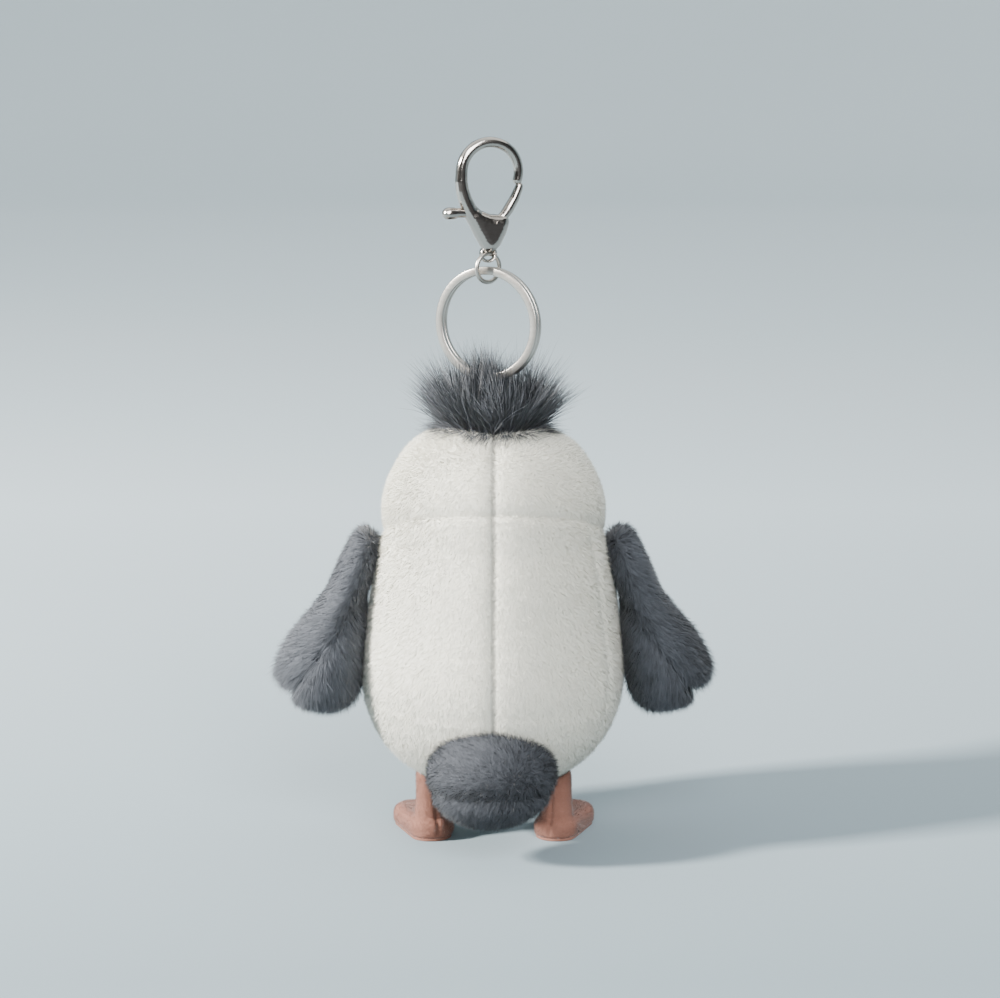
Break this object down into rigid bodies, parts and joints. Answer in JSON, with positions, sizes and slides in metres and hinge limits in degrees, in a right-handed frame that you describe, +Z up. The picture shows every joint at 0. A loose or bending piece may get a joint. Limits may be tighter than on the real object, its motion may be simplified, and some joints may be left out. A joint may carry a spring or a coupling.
{
  "type": "plush penguin bag charm",
  "caption": "Small stuffed penguin standing on its feet, with a key ring and a lobster clasp on its head for hanging it on a bag.",
  "frame": {"origin": "centre of the whole object's box, on the floor under the soles", "axes": "+Z up, the penguin faces -Y, its left side is +X"},
  "size_m": [0.1094, 0.0786, 0.1866],
  "materials": {
    "cream_plush": "short dense pile",
    "grey_plush": "longer soft pile",
    "salmon_suede": "short flocked nap",
    "fibre_fill": "loose polyester fibre",
    "loop_ribbon": "woven ribbon",
    "eye_bead": "glossy black",
    "washer_plastic": "moulded",
    "ring_steel": "satin nickel plate",
    "clasp_metal": "polished nickel plate"
  },
  "bodies": {
    "torso": {"head_back_left": "cream_plush", "head_back_right": "cream_plush", "face_panel": "cream_plush", "back_panel_left": "cream_plush", "back_panel_right": "cream_plush", "belly_panel": "cream_plush", "bottom_panel": "cream_plush", "crown_patch": "grey_plush", "tuft": "grey_plush", "hang_loop": "loop_ribbon", "body_stuffing": "fibre_fill", "eye_left": "eye_bead", "eye_right": "eye_bead", "eye_washer_left": "washer_plastic", "eye_washer_right": "washer_plastic", "beak_upper": "salmon_suede", "beak_lower": "salmon_suede", "leg_left": "salmon_suede", "leg_right": "salmon_suede", "foot_left": "salmon_suede", "foot_right": "salmon_suede", "sole_left": "salmon_suede", "sole_right": "salmon_suede"},
    "wing_left": {"wing_left_outer_panel": "grey_plush", "wing_left_inner_panel": "grey_plush", "wing_left_stuffing": "fibre_fill"},
    "wing_right": {"wing_right_outer_panel": "grey_plush", "wing_right_inner_panel": "grey_plush", "wing_right_stuffing": "fibre_fill"},
    "tail": {"tail_upper_panel": "grey_plush", "tail_lower_panel": "grey_plush", "tail_stuffing": "fibre_fill"},
    "key_ring": {"split_ring": "ring_steel"},
    "link": {"jump_ring": "ring_steel"},
    "clasp": {"clasp_body": "clasp_metal", "gate_pin": "clasp_metal", "gate_spring": "clasp_metal"},
    "gate": {"gate_lever": "clasp_metal"}
  },
  "joints": [
    {"name": "wing_left_lift", "type": "hinge", "parent": "torso", "child": "wing_left", "pos_m": [0.0327, 0.0003, 0.082], "axis": [0, -1, 0], "range_deg": [0, 60], "stiffness_Nm_per_rad": 0.004},
    {"name": "wing_right_lift", "type": "hinge", "parent": "torso", "child": "wing_right", "pos_m": [-0.0327, 0.0003, 0.082], "axis": [0, 1, 0], "range_deg": [0, 60], "stiffness_Nm_per_rad": 0.004},
    {"name": "tail_lift", "type": "hinge", "parent": "torso", "child": "tail", "pos_m": [0, 0.0338, 0.0318], "axis": [1, 0, 0], "range_deg": [0, 25], "stiffness_Nm_per_rad": 0.01},
    {"name": "key_ring_tilt", "type": "hinge", "parent": "torso", "child": "key_ring", "pos_m": [0.0014, 0.0003, 0.12395], "axis": [0.8829, -0.4695, 0], "range_deg": [-70, 70]},
    {"name": "jump_ring_swing", "type": "hinge", "parent": "key_ring", "child": "link", "pos_m": [0.0014, 0.0003, 0.15185], "axis": [0.8829, -0.4695, 0], "range_deg": [-40, 40]},
    {"name": "clasp_swing", "type": "hinge", "parent": "link", "child": "clasp", "pos_m": [0.0014, 0.0003, 0.15625], "axis": [0.9397, 0.342, 0], "range_deg": [-50, 50]},
    {"name": "gate_press", "type": "hinge", "parent": "clasp", "child": "gate", "pos_m": [-0.00067, -0.00045, 0.16425], "axis": [-0.342, 0.9397, 0], "range_deg": [0, 20], "stiffness_Nm_per_rad": 0.02}
  ]
}
